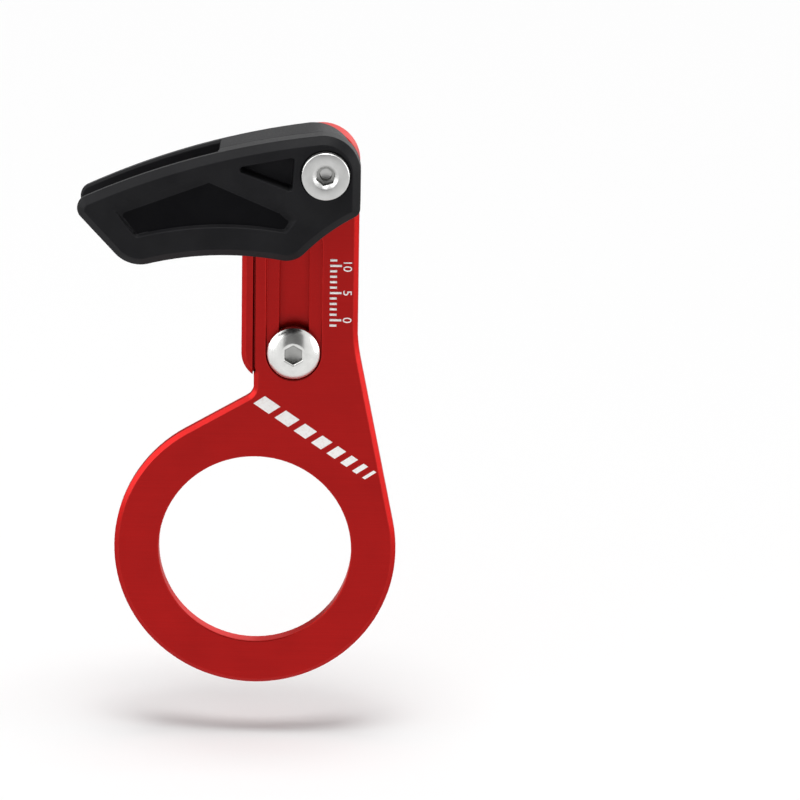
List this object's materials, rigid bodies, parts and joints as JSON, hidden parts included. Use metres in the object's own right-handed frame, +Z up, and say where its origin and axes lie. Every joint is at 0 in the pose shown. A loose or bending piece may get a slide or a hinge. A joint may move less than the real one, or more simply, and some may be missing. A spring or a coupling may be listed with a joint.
{
  "type": "bicycle chain guide",
  "caption": "Bicycle chain guide held by the bottom bracket: a ring plate with a slotted arm, a slider set by a clamp screw, and a split cage that keeps the chain on its chainring.",
  "frame": {"origin": "bottom bracket axis, on the inboard face of the ring that seats on the frame's shell", "axes": "+X forward on the bicycle, +Y inboard along the bottom bracket axis, +Z up along the arm"},
  "size_m": [0.0569, 0.0218, 0.1051],
  "materials": {
    "red_anodised": "fine blasted, red anodised",
    "black_plastic": "moulded, matt",
    "satin_steel": "satin",
    "bright_steel": "polished"
  },
  "bodies": {
    "bracket": {"ring_plate": "red_anodised"},
    "slider": {"slide_plate": "red_anodised", "slot_screw": "bright_steel", "guide_bolt": "satin_steel"},
    "guide": {"outer_guide": "black_plastic", "inner_guide": "black_plastic"}
  },
  "joints": [
    {"name": "height", "type": "slide", "parent": "bracket", "child": "slider", "axis": [0, 0, 1], "range_m": [0, 0.02]},
    {"name": "guide_tilt", "type": "hinge", "parent": "slider", "child": "guide", "pos_m": [0.01236, -0.0035, 0.0725], "axis": [0, 1, 0], "range_deg": [-10, 10]}
  ]
}
